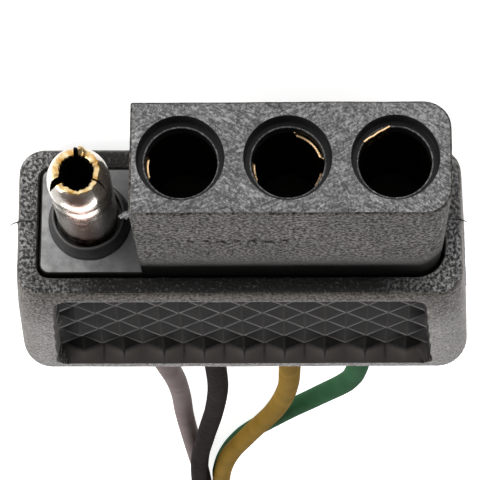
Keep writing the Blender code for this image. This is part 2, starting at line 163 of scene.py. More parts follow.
def smooth_route(points, spacing):
    """Points a fixed distance apart on a smooth curve through the route's own points."""
    vectors = [Vector(p) for p in points]
    ends = [2 * vectors[0] - vectors[1], *vectors, 2 * vectors[-1] - vectors[-2]]
    dense = []
    for a, b, c, d in zip(ends, ends[1:], ends[2:], ends[3:]):
        for i in range(24):
            t = i / 24
            dense.append(0.5 * (2 * b + (c - a) * t + (2 * a - 5 * b + 4 * c - d) * t * t
                                + (3 * b - a - 3 * c + d) * t * t * t))
    dense.append(vectors[-1])
    route = [dense[0]]
    for p in dense[1:]:
        if (p - route[-1]).length >= spacing:
            route.append(p)
    return route


def curve_object(name, runs, radius, material, resolution=4):
    curve = bpy.data.curves.new(name, "CURVE")
    curve.dimensions = "3D"
    curve.bevel_depth = radius * MM
    curve.bevel_resolution = resolution
    curve.use_fill_caps = True
    for points in runs:
        spline = curve.splines.new("POLY")
        spline.points.add(len(points) - 1)
        for point, place in zip(spline.points, points):
            point.co = (*(Vector(place) * MM), 1)
        spline.use_smooth = True
    return add_object(name, curve, material)


def smoothstep(t):
    t = min(max(t, 0.0), 1.0)
    return t * t * (3 - 2 * t)


# Leads.

def tie_lift(angle):
    """The small rise of the turns where the tie's strap passes under them."""
    away = (angle - TIE_ANGLE + math.pi) % (2 * math.pi) - math.pi
    return TIE_LIFT * math.exp(-(away / math.radians(24)) ** 2)


def coil_path(colour):
    """One lead's turns, then its bend into the middle of the coil and its straight end."""
    x, _, z = LEAD_ROUTES[colour][-1]
    shift = x - BUNDLE_CENTRE_X
    across, bare, _ = TAILS[colour]
    inner = INNER_TURN + shift
    bend_y = across + TAIL_BEND
    bend_x = -math.sqrt((inner - TAIL_BEND) ** 2 - bend_y ** 2)
    leave = 2 * math.pi + math.atan2(bend_y, bend_x)
    points = []
    angle = 0.0
    while angle < leave:
        step = smoothstep((angle - STEP_FROM) / (STEP_TO - STEP_FROM))
        radius = OUTER_TURN + shift + (INNER_TURN - OUTER_TURN) * step
        points.append((
            COIL_CENTRE.x + radius * math.cos(angle),
            COIL_CENTRE.y + radius * math.sin(angle),
            z + tie_lift(angle),
        ))
        angle += 1.5 / radius
    angle = leave - 2 * math.pi
    while angle < 1.5 * math.pi:
        points.append((
            COIL_CENTRE.x + bend_x + TAIL_BEND * math.cos(angle),
            COIL_CENTRE.y + bend_y + TAIL_BEND * math.sin(angle),
            z,
        ))
        angle += 0.22
    start = bend_x + 0.4
    steps = max(1, round((bare - start) / 1.5))
    points += [(COIL_CENTRE.x + start + (bare - start) * i / steps, COIL_CENTRE.y + across, z)
               for i in range(steps + 1)]
    return points


def lead_path(colour):
    x = LEAD_X[colour]
    last = LEAD_ROUTES[colour][-1]
    route = [(x, SHOULDER_Y + LEAD_START, MID_Z), (x, END_Y, MID_Z), *LEAD_ROUTES[colour],
             (last[0], COIL_CENTRE.y - 8, last[2]), (last[0], COIL_CENTRE.y - 1.5, last[2])]
    return smooth_route(route, 1.5) + [Vector(p) for p in coil_path(colour)]


def strands(name, start, length, material):
    """Seven copper strands with a slow twist, splayed a little at the end."""
    runs = [[start + Vector((length * i / 8, 0, 0)) for i in range(9)]]
    for k in range(6):
        run = []
        for i in range(13):
            t = i / 12
            turn = math.radians(60 * k) + 2.4 * t
            reach = 0.5 + 0.16 * t * t
            along = length * t * (0.97 + 0.01 * k)
            run.append(start + Vector((along, reach * math.cos(turn), reach * math.sin(turn))))
        runs.append(run)
    return curve_object(name, runs, 0.25, material, resolution=2)


def add_leads(materials, copper):
    for colour in LEAD_ROUTES:
        path = lead_path(colour)
        lead = curve_object(f"insulation_{colour}", [path], LEAD_RADIUS, materials[colour])
        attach(lead, "root")
        nodes = [f"lead_{colour}", f"tail_{colour}"]
        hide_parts(*(nodes + ["lead_coil"] if colour == "brown" else nodes))
        across, bare, tip = TAILS[colour]
        start = Vector((COIL_CENTRE.x + bare - 0.3, COIL_CENTRE.y + across, path[-1].z))
        end = strands(f"strands_{colour}", start, tip - bare, copper)
        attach(end, "root")
        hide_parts(f"tip_{colour}")


# Mesh helpers.

class Shape:
    """A mesh under construction, from points given in millimetres."""

    def __init__(self):
        self.bm = bmesh.new()
        self.wear_and_highlight = self.bm.verts.layers.float.new("wear_and_highlight")

    def ring(self, points, wear_and_highlight=0.0):
        verts = [self.bm.verts.new(Vector(p) * MM) for p in points]
        for v in verts:
            v[self.wear_and_highlight] = wear_and_highlight
        return verts

    def rings(self, loops, wear_and_highlight=0.0):
        return [self.ring(points, wear_and_highlight) for points in loops]

    def bridge(self, lower, upper, closed=True, material=0):
        count = len(lower)
        for i in range(count if closed else count - 1):
            j = (i + 1) % count
            face = self.bm.faces.new((lower[i], lower[j], upper[j], upper[i]))
            face.material_index = material

    def tube(self, rings, closed=True, material=0):
        for lower, upper in zip(rings, rings[1:]):
            self.bridge(lower, upper, closed, material)
        return rings

    def fill(self, *rings, material=0):
        """A flat face between loops: the first is its edge and the others are its holes."""
        edges = []
        for ring in rings:
            for i, a in enumerate(ring):
                b = ring[(i + 1) % len(ring)]
                edges.append(self.bm.edges.get((a, b)) or self.bm.edges.new((a, b)))
        made = bmesh.ops.triangle_fill(self.bm, use_beauty=True, edges=edges)
        for item in made["geom"]:
            if isinstance(item, bmesh.types.BMFace):
                item.material_index = material

    def piece(self, name, node, slot, *materials, angle=32):
        bmesh.ops.recalc_face_normals(self.bm, faces=self.bm.faces[:])
        mesh = bpy.data.meshes.new(name)
        self.bm.to_mesh(mesh)
        self.bm.free()
        mesh.shade_smooth()
        mesh.set_sharp_from_angle(angle=math.radians(angle))
        obj = add_object(name, mesh, *materials)
        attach(obj, "root")
        if node:
            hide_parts(node)
        return obj


def circle(x, y, radius, steps=64, z=MID_Z):
    return [(x + radius * math.cos(math.tau * i / steps), y, z + radius * math.sin(math.tau * i / steps))
            for i in range(steps)]


def arc(x, z, radius, start, steps=10):
    """A quarter turn of points about (x, z), counter-clockwise from a start angle in quarters."""
    angles = [math.pi / 2 * (start + i / steps) for i in range(steps + 1)]
    return [(x + radius * math.cos(a), z + radius * math.sin(a)) for a in angles]


def densify(outline, spacing):
    """The same closed outline with points added along its long straight runs."""
    points = []
    for a, b in zip(outline, outline[1:] + outline[:1]):
        count = max(1, round(math.dist(a, b) / spacing))
        points += [(a[0] + (b[0] - a[0]) * i / count, a[1] + (b[1] - a[1]) * i / count) for i in range(count)]
    return points


def carrier_outline(end_x, end_corner, grow=0.0):
    """The carrier's section: well rounded at its -X end, and with its own corner at the other end."""
    half_z = BLOCK_THICKNESS / 2
    left = BLOCK_X[0] + BLOCK_CORNER
    right = end_x - end_corner
    wide, tight = BLOCK_CORNER + grow, end_corner + grow
    points = arc(right, half_z - end_corner, tight, 0, 6)
    points += arc(left, half_z - BLOCK_CORNER, wide, 1)
    points += arc(left, BLOCK_CORNER - half_z, wide, 2)
    points += arc(right, end_corner - half_z, tight, 3, 6)
    return densify(points, 0.9)


def wander(x, y, z, scale, amount, seed=0.0):
    return amount * noise.noise(Vector((x / scale + seed, y / scale, z / scale)))


def carrier_ring(end_x, end_corner, y, grow=0.0, uneven=0.03):
    return [(x + wander(x, y, z, 3.0, uneven, 5.0), y, MID_Z + z + wander(x, y, z, 3.0, uneven, 11.0))
            for x, z in carrier_outline(end_x, end_corner, grow)]


# Grip.

KNURL_LINES = 20    # mesh lines to each cell of the knurl
EVEN_LINES = 86     # evenly spaced lines each side of the middle
EDGE_LINES = 8      # wider spaced lines from there to the grip's corner
PARTING_FIN = 0.13


def grip_section(depth):
    """Half width, half thickness and corner radius of the grip at a depth behind its shoulder."""
    width = SHOULDER_HALF_WIDTH + (END_HALF_WIDTH - SHOULDER_HALF_WIDTH) * depth / GRIP_LENGTH
    rise = 1 - (1 - min(depth / FLARE_LENGTH, 1)) ** 2
    thickness = SHOULDER_HALF_THICKNESS + (END_HALF_THICKNESS - SHOULDER_HALF_THICKNESS) * rise
    inset = 0.0
    if depth < FRONT_ROUND:
        inset = FRONT_ROUND - math.sqrt(FRONT_ROUND ** 2 - (FRONT_ROUND - depth) ** 2)
    from_end = GRIP_LENGTH - depth
    if from_end < REAR_ROUND:
        inset = REAR_ROUND - math.sqrt(max(0, REAR_ROUND ** 2 - (REAR_ROUND - from_end) ** 2))
    return width - inset, thickness - inset, GRIP_CORNER + 0.8 * depth / GRIP_LENGTH - 0.6 * inset


def recess_distance(x, depth):
    """Distance to the edge of the recess: negative inside it."""
    middle = (RECESS_SPAN[0] + RECESS_SPAN[1]) / 2
    half = (RECESS_SPAN[1] - RECESS_SPAN[0]) / 2
    x /= 1 + RECESS_TAPER / RECESS_HALF_WIDTH * (depth - middle) / half
    qx = abs(x) - RECESS_HALF_WIDTH + RECESS_CORNER
    qy = abs(depth - middle) - half + RECESS_CORNER
    return math.hypot(max(qx, 0), max(qy, 0)) + min(max(qx, qy), 0) - RECESS_CORNER


def knurl(x, depth):
    """Height of the pyramids above the recess floor, and how close a point is to one of their ridges, which
    serves as a painted highlight along them.
    """
    across = x / KNURL_CELL[0]
    along = (depth - (RECESS_SPAN[0] + RECESS_SPAN[1]) / 2) / KNURL_CELL[1]
    u, v = across + along, across - along
    u, v = u - round(u), v - round(v)
    larger = max(abs(u), abs(v))
    gap = abs(abs(u) - abs(v))
    # Painted highlight: one diagonal set of ridges is lit fully, the other only faintly.
    crosswise = 1.0 if u * v > 0 else 0.15
    rounding = 0.022
    if gap < rounding:
        larger += (rounding - gap) ** 2 / (4 * rounding)
    ridge_highlight = crosswise * max(0.0, 1 - gap / 0.06) * (1 - larger)
    return KNURL_HEIGHT * max(0.0, 1 - 2 * larger), ridge_highlight


def wide_face(x, depth, thickness):
    """Height of the wide face from the mid-plane, and its wear and painted ridge highlight."""
    distance = recess_distance(x, depth)
    skin = thickness + wander(x, depth, 0, 4.0, 0.035)
    if distance > 0.25:
        return skin, 0.0
    share = (depth - RECESS_SPAN[0]) / (RECESS_SPAN[1] - RECESS_SPAN[0])
    height, ridge_highlight = knurl(x, depth)
    floor = RECESS_FLOOR[0] + (RECESS_FLOOR[1] - RECESS_FLOOR[0]) * share - KNURL_HEIGHT / 2
    floor += height - KNURL_HEIGHT / 2 + wander(x, depth, 7.0, 1.5, 0.02)
    blend = smoothstep(0.5 - distance / 0.26)
    edge = math.exp(-((distance - 0.12) / 0.1) ** 2)
    rubbed = edge * 0.6 if distance > 0.1 else 0.0
    return skin + (floor - skin) * blend - 0.04 * edge * (1 - blend), max(rubbed, ridge_highlight * blend)


def grip_ring(depth):
    """Points with their wear and painted highlight once round the grip, counter-clockwise as seen from the
    leads.
    """
    width, thickness, corner = grip_section(depth)
    y = SHOULDER_Y + depth
    flat_x, flat_z = width - corner, thickness - corner
    side = [flat_z * f for f in (-0.92, -0.75, -0.55, -0.35, -0.18)]
    side += [-0.17, -0.1, 0.0, 0.1, 0.17]
    side += [-z for z in side[4::-1]]
    step = KNURL_CELL[0] / KNURL_LINES
    inner = step * EVEN_LINES
    outer = [inner + (flat_x - inner) * i / EDGE_LINES for i in range(EDGE_LINES - 1, 0, -1)]
    even = [step * i for i in range(EVEN_LINES, -EVEN_LINES - 1, -1)]
    lines = outer + even + [-x for x in outer[::-1]]
    points = []

    def add(x, z, wear_and_highlight=0.0):
        points.append(((x, y, MID_Z + z), wear_and_highlight))

    def add_side(sign):
        for z in side:
            fin = PARTING_FIN * math.exp(-(z / 0.09) ** 2) * (0.7 + wander(0, y, 0, 1.3, 0.9))
            add(sign * (width + fin + wander(0, y, z, 4.0, 0.03)), sign * z, 0.5 if abs(z) < 0.05 else 0.0)

    def add_corner(sx, sz, start):
        for x, z in arc(sx * flat_x, sz * flat_z, corner, start, 8):
            add(x, z)

    def add_wide(sign):
        for x in lines:
            height, wear_and_highlight = wide_face(x, depth, thickness)
            add(sign * x, sign * height, wear_and_highlight)

    add_side(1)
    add_corner(1, 1, 0)
    add_wide(1)
    add_corner(-1, 1, 1)
    add_side(-1)
    add_corner(-1, -1, 2)
    add_wide(-1)
    add_corner(1, -1, 3)
    return points


def grip_depths():
    """Depths of the grip's rings: close together where the knurl and the rounded ends need them."""
    middle = (RECESS_SPAN[0] + RECESS_SPAN[1]) / 2
    step = KNURL_CELL[1] / KNURL_LINES
    depths = [FRONT_ROUND * (1 - math.cos(math.pi / 2 * i / 4)) for i in range(5)]
    depths += [middle + step * i for i in range(-48, 49)
               if FRONT_ROUND < middle + step * i < GRIP_LENGTH - REAR_ROUND - 0.1]
    depths += [GRIP_LENGTH - REAR_ROUND * (1 - math.sin(math.pi / 2 * i / 8)) for i in range(9)]
    return depths


def add_grip(material, recess):
    """The overmould's shell with its knurled recesses, the carrier's pocket and the leads' holes."""
    shape = Shape()
    rings = []
    inside = []
    for depth in grip_depths():
        points = grip_ring(depth)
        ring = shape.ring([p for p, _ in points])
        for v, (p, wear_and_highlight) in zip(ring, points):
            v[shape.wear_and_highlight] = wear_and_highlight
        clear_of_ends = abs(depth - GRIP_LENGTH / 2) < GRIP_LENGTH / 2 - 1
        inside.append([clear_of_ends and recess_distance(p[0], depth) < 0.05 for p, _ in points])
        rings.append(ring)
    middle = MID_Z * MM
    for lower, upper, held in zip(rings, rings[1:], inside):
        for i in range(len(lower)):
            j = (i + 1) % len(lower)
            a, b, c, d = lower[i], lower[j], upper[j], upper[i]
            first = abs(a.co.z - middle) + abs(c.co.z - middle)
            second = abs(b.co.z - middle) + abs(d.co.z - middle)
            halves = ((a, b, c), (a, c, d)) if first < second else ((a, b, d), (b, c, d))
            for half in halves:
                shape.bm.faces.new(half).material_index = 1 if held[i] else 0
    pocket_depth = ROOT_Y + GAP - SHOULDER_Y
    pocket = [carrier_ring(PAD_X, PAD_CORNER, SHOULDER_Y + depth, grow, 0.02)
              for grow, depth in ((GAP + 0.2, 0), (GAP + 0.07, 0.05), (GAP, 0.2), (GAP, pocket_depth))]
    pocket = shape.tube(shape.rings(pocket))
    shape.fill(rings[0], pocket[0])
    inner, outer = [], []
    for x in LEAD_X.values():
        hole = shape.tube(shape.rings([circle(x, y, radius, 24) for y, radius in (
            (ROOT_Y + GAP, LEAD_HOLE_RADIUS), (END_Y - 0.3, LEAD_HOLE_RADIUS),
            (END_Y - 0.08, LEAD_HOLE_RADIUS + 0.08), (END_Y, LEAD_HOLE_RADIUS + 0.25))]))
        inner.append(hole[0])
        outer.append(hole[-1])
    shape.fill(pocket[-1], *inner)
    shape.fill(rings[-1], *outer)
    return shape.piece("grip_shell", "grip_overmould", "overmould_black", material, recess)


# Carrier.

def add_carrier(face, wall, deep, pad_face):
    """The socket block on its wider root: worn faces, plain walls, and mouths and chambers painted dark as
    shade.
    """
    shape = Shape()
    front = [(-0.16, 0.0), (-0.05, 0.04), (0.0, 0.14)]
    loops = [carrier_ring(BLOCK_X[1], BLOCK_EDGE, FACE_Y + y, grow, 0.05) for grow, y in front]
    pad_y = SHOULDER_Y - PAD_PROUD
    loops += [carrier_ring(BLOCK_X[1], BLOCK_EDGE, FACE_Y + 0.6 + (pad_y - FACE_Y - 0.6) * i / 16)
              for i in range(17)]
    block = shape.tube(shape.rings(loops), material=1)
    mouths = []
    for x in SOCKET_X.values():
        inner = [(MOUTH_RADIUS + 0.03, 0.0), (MOUTH_RADIUS, 0.03), (MOUTH_RADIUS - 0.02, 0.1),
                 (MOUTH_RADIUS - 0.04, MOUTH_DEPTH - 0.12), (MOUTH_RADIUS - 0.12, MOUTH_DEPTH)]
        rim = [(LIP_RADIUS + 0.15, MOUTH_DEPTH), (LIP_RADIUS + 0.09, MOUTH_DEPTH - 0.06),
               (LIP_RADIUS + 0.02, MOUTH_DEPTH - 0.03), (LIP_RADIUS, MOUTH_DEPTH + 0.05)]
        chamber = [(LIP_RADIUS, MOUTH_DEPTH + LIP_DEPTH), (CHAMBER_RADIUS, MOUTH_DEPTH + LIP_DEPTH + 0.02),
                   (CHAMBER_RADIUS, CHAMBER_DEPTH), (0.4, CHAMBER_DEPTH)]
        made = [shape.ring(circle(x, FACE_Y + y, r, 72)) for r, y in inner + rim + chamber]
        shape.tube(made[:len(inner)], material=2)
        shape.bridge(made[len(inner) - 1], made[len(inner)], material=2)
        # The lip's rim takes the worn face finish, which also serves as a thin painted highlight round each
        # mouth.
        shape.tube(made[len(inner):len(inner) + len(rim)], material=0)
        shape.tube(made[len(inner) + len(rim) - 1:], material=2)
        shape.fill(made[-1], material=2)
        mouths.append(made[0])
    shape.fill(block[0], *mouths, material=0)
    pad = [carrier_ring(PAD_X, PAD_CORNER, pad_y + y, grow, 0.02)
           for grow, y in ((-0.14, 0.0), (-0.04, 0.04), (0.0, 0.14), (0.0, ROOT_Y - pad_y))]
    pad = shape.tube(shape.rings(pad), material=1)
    shape.fill(pad[0], block[-1], material=3)
    shape.fill(pad[-1], material=1)
    return shape.piece("socket_block", "terminal_carrier", "carrier_grey", face, wall, deep, pad_face)


def add_block_flash(material):
    """A torn scrap of flash at the corner of the block beside the pad."""
    outline = [
        (-0.25, 0.02, -0.35), (0.25, -0.02, -0.3), (0.55, 0.0, -0.1), (0.85, -0.02, 0.12),
        (0.6, 0.03, 0.3), (0.35, -0.01, 0.22), (0.15, 0.02, 0.4), (-0.1, 0.0, 0.1),
    ]
    corner = (BLOCK_X[1], FACE_Y, MID_Z + BLOCK_THICKNESS / 2)
    points = [tuple(a + b for a, b in zip(corner, offset)) for offset in outline]
    shape = Shape()
    low = shape.ring(points)
    high = shape.ring([(x, y + 0.14, z) for x, y, z in points])
    shape.bridge(low, high)
    shape.fill(low)
    shape.fill(high)
    shape.piece("block_flash", None, "carrier_grey", material)


def add_parting_flash(material):
    """The mould's parting line across the shoulder, with a torn tick of flash beyond each side."""
    shape = Shape()
    runs = (
        (PAD_X + GAP + 0.15, SHOULDER_HALF_WIDTH + 0.75),
        (BLOCK_X[0] - GAP - 0.15, -SHOULDER_HALF_WIDTH - 0.5),
    )
    for start, end in runs:
        sections = []
        for i in range(15):
            x = start + (end - start) * i / 14
            past = max(0.0, abs(x) - SHOULDER_HALF_WIDTH + 0.1)
            y = SHOULDER_Y - 0.09 + 0.5 * past + wander(x, 0, 1, 0.5, 0.04)
            z = MID_Z - 0.05 + wander(x, 3, 0, 0.7, 0.2) + 0.35 * past * (past + 0.3)
            half = 0.1 * (1 - 0.75 * (i / 14) ** 3)
            depth = 0.22 * (1 - 0.5 * (i / 14) ** 3)
            sections.append(shape.ring([
                (x, y, z - half * 0.3), (x, y, z + half * 0.3),
                (x, y + depth, z + half), (x, y + depth, z - half),
            ]))
        shape.tube(sections)
        shape.fill(sections[0])
        shape.fill(sections[-1])
    return shape.piece("parting_flash", None, "overmould_black", material)


BAR, DOT = (0.28, 1.7), (0.5, 0.5)    # half width and length of each kind of mark
MARKS = (BAR, BAR, DOT, BAR, BAR, DOT, BAR)
MARK_START_X = 4.0
MARK_STEP = 1.35
MARK_DEPTH = 8.5


def add_marks(material):
    """Plain raised bars and dots on the block's wide wall."""
    z = MID_Z + BLOCK_THICKNESS / 2
    shape = Shape()
    for i, (half, length) in enumerate(MARKS):
        x = MARK_START_X - MARK_STEP * i
        loops = []
        for grow, height in ((0.05, -0.02), (0.03, 0.06), (-0.04, 0.12)):
            loop = []
            for k in range(16):
                a = math.tau * k / 16
                stretch = length / 2 - half if length > 2 * half else 0.0
                y = FACE_Y + MARK_DEPTH + math.copysign(stretch, math.sin(a)) + (half + grow) * math.sin(a)
                loop.append((x + (half + grow) * math.cos(a), y, z + height))
            loops.append(loop)
        rings = shape.tube(shape.rings(loops))
        shape.fill(rings[0])
        shape.fill(rings[-1])
    return shape.piece("mould_marks", None, "carrier_grey", material)


# Metal.

SLIT_ANGLES = (28, 155, 272)
SLIT_HALF = (0.3, 0.07, 0.2)
BARREL_SLIT = math.radians(7)
# Stretches of each barrel's rim that stand inside its socket's lip: middle and half width in degrees.
SHOWN_RIM = {
    "brown": ((2, 22),),
    "yellow": ((10, 20), (226, 34), (156, 17), (118, 6)),
    "green": (),
}


def add_bent_tab(shape, x, angle, distance, half):
    """The barrel's mouth bent inward: a straight strip of sheet across the lip of its socket."""
    out = Vector((math.cos(angle), 0, math.sin(angle)))
    along = Vector((-math.sin(angle), 0, math.cos(angle)))
    sections = []
    for i in range(17):
        t = -1 + i / 8
        bend = 0.05 * t * t + wander(t, 0, 0, 0.4, 0.04)
        front = FACE_Y + 1.12 + wander(t, 4, 0, 0.35, 0.08)
        middle = Vector((x, 0, MID_Z)) + along * half * t + out * (distance - bend)
        section = []
        for thick, y in ((0.0, front + 1.6), (0.02, front + 0.05), (0.06, front),
                         (0.18, front), (0.22, front + 0.06), (0.22, front + 1.6)):
            point = middle + out * thick
            section.append((point.x, y, point.z))
        sections.append(shape.ring(section))
    shape.tube(sections)
    shape.fill(sections[0])
    shape.fill(sections[-1])


def add_socket_contact(colour, x, bright, dull):
    """A rolled barrel open along one side, with its mouth just behind the lip of its socket."""
    shape = Shape()
    mouth = FACE_Y + MOUTH_DEPTH + LIP_DEPTH + 0.12
    back = mouth + BARREL_LENGTH
    steps = 132
    outer, rim, inner, lit = [], [], [], []
    for i in range(steps + 1):
        angle = -math.pi + BARREL_SLIT + (math.tau - 2 * BARREL_SLIT) * i / steps
        degrees = math.degrees(angle) % 360
        radius = BARREL_INNER + 0.12
        bare = 0
        # bare marks the stretches of rim that show, which take the brass; everything else takes the dark
        # painted-shade metal.
        for middle, half in SHOWN_RIM[colour]:
            away = abs((degrees - middle + 180) % 360 - 180)
            radius -= 0.3 * smoothstep((half - away) / 6)
            bare = 1 if away < half else bare
        lit.append(bare)
        outer.append((angle, radius + 0.32))
        rim.append((angle, radius + 0.12))
        inner.append((angle, radius))

    def place(run, y):
        return [(x + r * math.cos(a), y + wander(3 * math.cos(a), 3 * math.sin(a), x, 1.2, 0.05),
                 MID_Z + r * math.sin(a)) for a, r in run]

    rings = shape.rings([
        place(outer, back), place(outer, mouth + 0.2), place(outer, mouth), place(rim, mouth - 0.08),
        place(inner, mouth), place(inner, mouth + 0.25), place(inner, mouth + 1.2),
    ])
    for k, (lower, upper) in enumerate(zip(rings, rings[1:])):
        for i in range(steps):
            face = shape.bm.faces.new((lower[i], lower[i + 1], upper[i + 1], upper[i]))
            # Brass on the shown rim stretches, painted-shade dark metal everywhere else.
            face.material_index = 0 if lit[i] and k < 5 else 1
    deep = shape.ring(place([(a, min(r, BARREL_INNER)) for a, r in inner], back))
    shape.bridge(rings[6], deep, closed=False, material=1)
    shape.bridge(deep, rings[0], closed=False, material=1)
    for end in (0, -1):
        shape.bm.faces.new([ring[end] for ring in rings] + [deep[end]])
    if colour == "green":
        add_bent_tab(shape, x, math.radians(302), 2.78, 1.3)
    crimp = [(0.2, back - 0.4), (2.9, back - 0.4), (2.9, back), (CRIMP_RADIUS, back + 0.6),
             (CRIMP_RADIUS, ROOT_Y - 0.7), (0.2, ROOT_Y - 0.7)]
    tail = shape.tube([shape.ring(circle(x, y, r, 32)) for r, y in crimp], material=1)
    shape.fill(tail[0], material=1)
    shape.fill(tail[-1], material=1)
    return shape.piece(f"socket_barrel_{colour}", f"socket_contact_{colour}", "brass", bright, dull)


def add_pin(plate, cut, deep):
    """The bullet pin: its tip is split in three round a hole, and its cut end is bare."""
    shape = Shape()
    tip = PIN_LOW.y
    split = tip + 6.0
    profile = [
        (PIN_RADIUS - 0.04, split), (PIN_RADIUS - 0.03, tip + 5.3), (PIN_RADIUS - 0.05, tip + 4.7),
        (PIN_RADIUS - 0.13, tip + 3.95), (PIN_RADIUS - 0.25, tip + 3.84), (PIN_RADIUS - 0.3, tip + 3.75),
        (PIN_RADIUS - 0.14, tip + 3.62), (PIN_RADIUS, tip + 3.5), (PIN_RADIUS, tip + 3.0),
        (PIN_RADIUS, tip + 2.4), (2.71, tip + 1.9), (2.65, tip + 1.5), (2.53, tip + 1.0),
        (2.37, tip + 0.55), (2.22, tip + 0.28), (2.08, tip + 0.1), (1.95, tip), (1.78, tip - 0.02),
        (1.55, tip), (1.46, tip + 0.12), (1.42, tip + 0.9), (PIN_HOLE_RADIUS, split),
    ]
    slits = [math.radians(d) for d in SLIT_ANGLES]
    for k, start in enumerate(slits):
        end = slits[(k + 1) % 3]
        end += math.tau if end < start else 0
        steps = 30
        columns = []
        for i in range(steps + 1):
            column = []
            for r, y in profile:
                closing = 1 - smoothstep((y - tip) / 1.9)
                first = math.asin((0.01 + SLIT_HALF[k] * closing) / r)
                last = math.asin((0.01 + SLIT_HALF[(k + 1) % 3] * closing) / r)
                a = start + first + (end - start - first - last) * i / steps
                tear = 1 - smoothstep((y - tip) / 0.9)
                rough = wander(3 * math.cos(a), 3 * math.sin(a), y, 0.5, 0.12, 3.0) * tear
                sliver = 0.45 * math.exp(-(math.remainder(a - math.radians(262), math.tau) / 0.2) ** 2) * tear
                sliver *= 1.0 if r > 1.6 else 0.0
                thin = math.exp(-(math.remainder(a - math.radians(95), math.tau) / 0.75) ** 2) * tear
                r = r + 0.2 * thin * max(0.0, 1 - abs(r - 1.5) / 0.3)
                reach = r + rough + 0.3 * sliver
                column.append((
                    PIN_X + reach * math.cos(a),
                    y + rough * 0.8 - sliver,
                    MID_Z + reach * math.sin(a),
                ))
            columns.append(shape.ring(column))
        for left, right in zip(columns, columns[1:]):
            for j in range(len(profile) - 1):
                face = shape.bm.faces.new((left[j], left[j + 1], right[j + 1], right[j]))
                # Plating outside, bare cut brass at the tip's end, and the dark painted-shade metal inside
                # the hole and slits.
                face.material_index = 0 if j < 15 else (1 if j < 19 else 2)
            shape.bm.faces.new((left[0], right[0], right[-1], left[-1]))
        for column in (columns[0], columns[-1]):
            shape.bm.faces.new(column).material_index = 2
    flange = SHOULDER_Y + 1.5
    shaft = [
        (0.3, tip + 8.0), (PIN_HOLE_RADIUS, tip + 8.0), (PIN_HOLE_RADIUS, split),
        (PIN_RADIUS - 0.04, split), (PIN_RADIUS - 0.04, split + 0.6), (PIN_RADIUS - 0.03, split + 2.4),
        (PIN_RADIUS - 0.02, split + 4.5), (PIN_RADIUS - 0.02, flange), (3.3, flange), (3.3, flange + 1.2),
        (CRIMP_RADIUS, flange + 1.2), (CRIMP_RADIUS, ROOT_Y - 0.7), (0.3, ROOT_Y - 0.7),
    ]
    rings = [shape.ring(circle(PIN_X, y, r, 90)) for r, y in shaft]
    shape.tube(rings[:4], material=2)
    shape.tube(rings[3:], material=0)
    shape.fill(rings[0], material=2)
    shape.fill(rings[-1])
    return shape.piece("bullet_pin", "pin_contact", "nickel", plate, cut, deep, angle=28)


def add_collar(material):
    """The plastic sleeve round the foot of the pin, with a lighter rim."""
    shape = Shape()
    front = SHOULDER_Y - PAD_PROUD - 0.02
    inner = PIN_RADIUS + 0.25
    profile = [
        (inner, front), (inner, front - 1.85), (inner + 0.05, front - 1.98),
        (inner + 0.15, front - 2.02), (inner + 0.25, front - 1.96), (inner + 0.3, front - 1.8),
        (inner + 0.36, front - 1.5), (COLLAR_RADIUS - 0.14, front - 1.1),
        (COLLAR_RADIUS - 0.05, front - 0.5), (COLLAR_RADIUS, front - 0.2), (COLLAR_RADIUS + 0.12, front),
    ]
    rings = []
    for r, y in profile:
        ring = []
        for i in range(72):
            a = math.tau * i / 72
            uneven = wander(3 * math.cos(a), 3 * math.sin(a), y, 1.6, 0.07)
            ring.append((PIN_X + (r + uneven) * math.cos(a), y + uneven, MID_Z + (r + uneven) * math.sin(a)))
        rings.append(shape.ring(ring))
    shape.tube(rings)
    shape.bridge(rings[-1], rings[0])
    for i in (3, 4):
        for v in rings[i]:
            v[shape.wear_and_highlight] = 1.0
    return shape.piece("pin_sleeve", "pin_collar", "collar_black", material)


# Tie.

STRAP_HALF = 1.25
STRAP_CLEARANCE = 0.75
BUNDLE_HALF_WIDTH = 1.4
HEAD_RISE = 0.3


def rounded_rectangle(half_x, half_z, radius, steps=8):
    points = []
    for quarter, (sx, sz) in enumerate(((1, 1), (-1, 1), (-1, -1), (1, -1))):
        points += arc(sx * (half_x - radius), sz * (half_z - radius), radius, quarter, steps)
    return points


